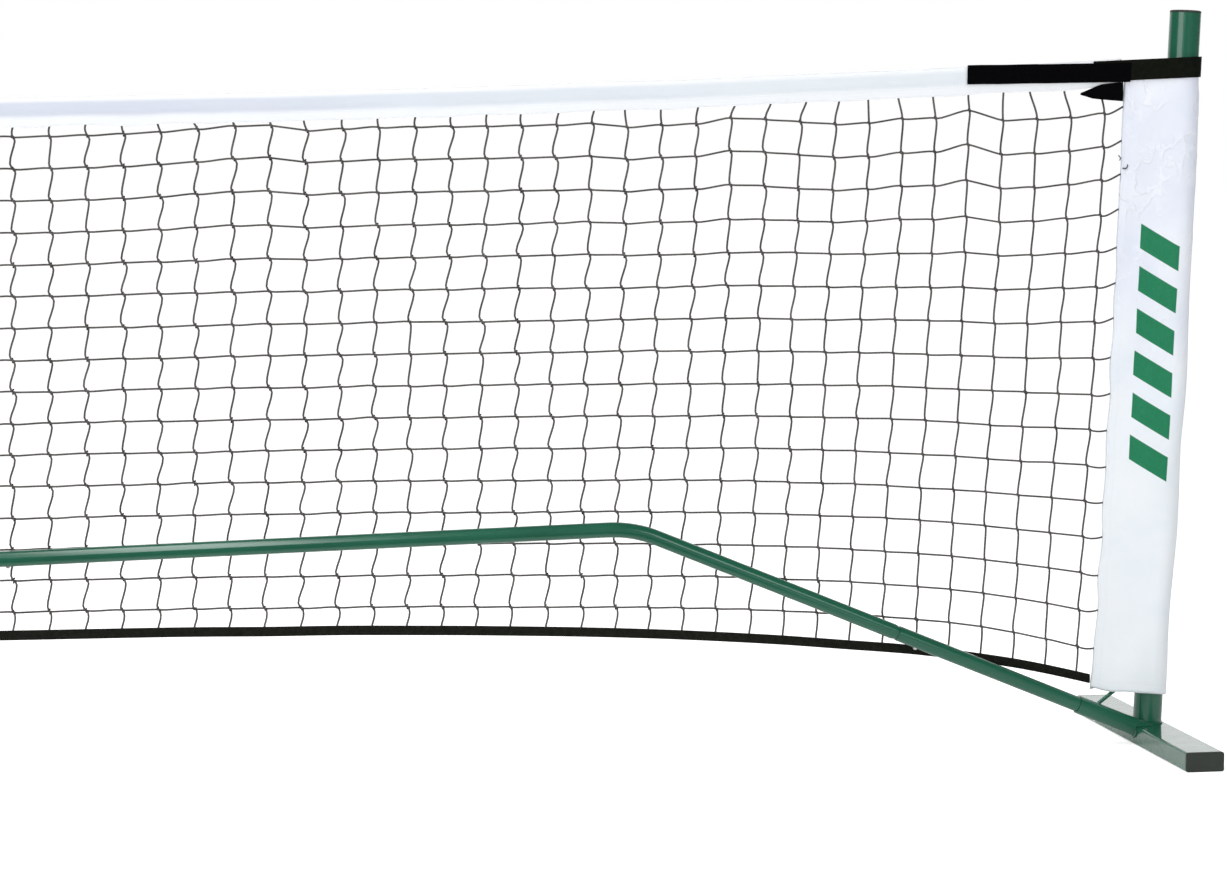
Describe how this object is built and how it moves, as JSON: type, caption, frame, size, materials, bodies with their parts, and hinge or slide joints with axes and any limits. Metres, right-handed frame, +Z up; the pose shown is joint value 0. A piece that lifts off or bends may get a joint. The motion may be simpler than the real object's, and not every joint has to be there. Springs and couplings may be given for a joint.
{
  "type": "portable pickleball net",
  "caption": "Free-standing court net: raked tube posts on flat box-section feet, a raised sectional base bar, knotted netting with headband, end sleeves, straps and a centre support rod.",
  "frame": {"origin": "on the floor under the middle of the net, at the base of the centre foot", "axes": "+X along the net towards the right-hand post, +Y across the net away from the side the base bar is on, +Z up"},
  "size_m": [6.8232, 0.445, 0.9759],
  "materials": {
    "powder_green": "gloss powder coat",
    "black_plastic": "matte",
    "button_steel": "zinc plated",
    "white_fabric": "woven polyester",
    "net_twine": "knotted twine",
    "black_webbing": "woven webbing"
  },
  "bodies": {
    "frame": {"right_foot_tube": "powder_green", "right_foot_cap_front": "black_plastic", "right_foot_cap_rear": "black_plastic", "right_post_stub": "powder_green", "right_bow_socket": "powder_green", "right_gusset_rod": "powder_green", "right_upright_tube": "powder_green", "right_upright_cap": "black_plastic", "right_upright_spring": "button_steel", "right_link_tube": "powder_green", "right_corner_tube": "powder_green", "right_mid_tube": "powder_green", "right_inner_tube": "powder_green", "right_side_sleeve": "white_fabric", "right_end_strap": "black_webbing", "right_strap_tab": "black_webbing", "left_foot_tube": "powder_green", "left_foot_cap_front": "black_plastic", "left_foot_cap_rear": "black_plastic", "left_post_stub": "powder_green", "left_bow_socket": "powder_green", "left_gusset_rod": "powder_green", "left_upright_tube": "powder_green", "left_upright_cap": "black_plastic", "left_upright_spring": "button_steel", "left_link_tube": "powder_green", "left_corner_tube": "powder_green", "left_mid_tube": "powder_green", "left_inner_tube": "powder_green", "left_side_sleeve": "white_fabric", "left_end_strap": "black_webbing", "left_strap_tab": "black_webbing", "centre_foot_tube": "powder_green", "centre_foot_cap_front": "black_plastic", "centre_foot_cap_rear": "black_plastic", "centre_leg": "powder_green", "centre_tee": "powder_green", "rod_socket": "powder_green", "centre_rod": "powder_green", "rod_cap": "black_plastic", "rod_collar": "black_plastic", "centre_strap": "black_webbing", "tape_tie": "black_webbing", "headband": "white_fabric", "net_panel": "net_twine", "bottom_tape": "black_webbing"},
    "right_upright_button": {"right_upright_button": "button_steel"},
    "right_socket_button": {"right_socket_button": "button_steel"},
    "right_link_button": {"right_link_button": "button_steel"},
    "right_corner_button": {"right_corner_button": "button_steel"},
    "right_mid_button": {"right_mid_button": "button_steel"},
    "right_tee_button": {"right_tee_button": "button_steel"},
    "left_upright_button": {"left_upright_button": "button_steel"},
    "left_socket_button": {"left_socket_button": "button_steel"},
    "left_link_button": {"left_link_button": "button_steel"},
    "left_corner_button": {"left_corner_button": "button_steel"},
    "left_mid_button": {"left_mid_button": "button_steel"},
    "left_tee_button": {"left_tee_button": "button_steel"}
  },
  "joints": [
    {"name": "right_upright_button_press", "type": "slide", "parent": "frame", "child": "right_upright_button", "axis": [0.9993, 0, -0.0384], "range_m": [0, 0.0042], "stiffness_N_per_m": 200, "springref_m": -0.002, "deforming": ["right_upright_spring"]},
    {"name": "right_socket_button_press", "type": "slide", "parent": "frame", "child": "right_socket_button", "axis": [0.3788, 0, 0.9255], "range_m": [0, 0.0042], "stiffness_N_per_m": 200, "springref_m": -0.002},
    {"name": "right_link_button_press", "type": "slide", "parent": "frame", "child": "right_link_button", "axis": [0.3788, 0, 0.9255], "range_m": [0, 0.0042], "stiffness_N_per_m": 200, "springref_m": -0.002},
    {"name": "right_corner_button_press", "type": "slide", "parent": "frame", "child": "right_corner_button", "axis": [-0.0289, 0, 0.9996], "range_m": [0, 0.0042], "stiffness_N_per_m": 200, "springref_m": -0.002},
    {"name": "right_mid_button_press", "type": "slide", "parent": "frame", "child": "right_mid_button", "axis": [-0.0289, 0, 0.9996], "range_m": [0, 0.0042], "stiffness_N_per_m": 200, "springref_m": -0.002},
    {"name": "right_tee_button_press", "type": "slide", "parent": "frame", "child": "right_tee_button", "axis": [-0.0289, 0, 0.9996], "range_m": [0, 0.0042], "stiffness_N_per_m": 200, "springref_m": -0.002},
    {"name": "left_upright_button_press", "type": "slide", "parent": "frame", "child": "left_upright_button", "axis": [-0.9993, 0, -0.0384], "range_m": [0, 0.0042], "stiffness_N_per_m": 200, "springref_m": -0.002, "deforming": ["left_upright_spring"]},
    {"name": "left_socket_button_press", "type": "slide", "parent": "frame", "child": "left_socket_button", "axis": [-0.3788, 0, 0.9255], "range_m": [0, 0.0042], "stiffness_N_per_m": 200, "springref_m": -0.002},
    {"name": "left_link_button_press", "type": "slide", "parent": "frame", "child": "left_link_button", "axis": [-0.3788, 0, 0.9255], "range_m": [0, 0.0042], "stiffness_N_per_m": 200, "springref_m": -0.002},
    {"name": "left_corner_button_press", "type": "slide", "parent": "frame", "child": "left_corner_button", "axis": [0.0289, 0, 0.9996], "range_m": [0, 0.0042], "stiffness_N_per_m": 200, "springref_m": -0.002},
    {"name": "left_mid_button_press", "type": "slide", "parent": "frame", "child": "left_mid_button", "axis": [0.0289, 0, 0.9996], "range_m": [0, 0.0042], "stiffness_N_per_m": 200, "springref_m": -0.002},
    {"name": "left_tee_button_press", "type": "slide", "parent": "frame", "child": "left_tee_button", "axis": [0.0289, 0, 0.9996], "range_m": [0, 0.0042], "stiffness_N_per_m": 200, "springref_m": -0.002}
  ]
}
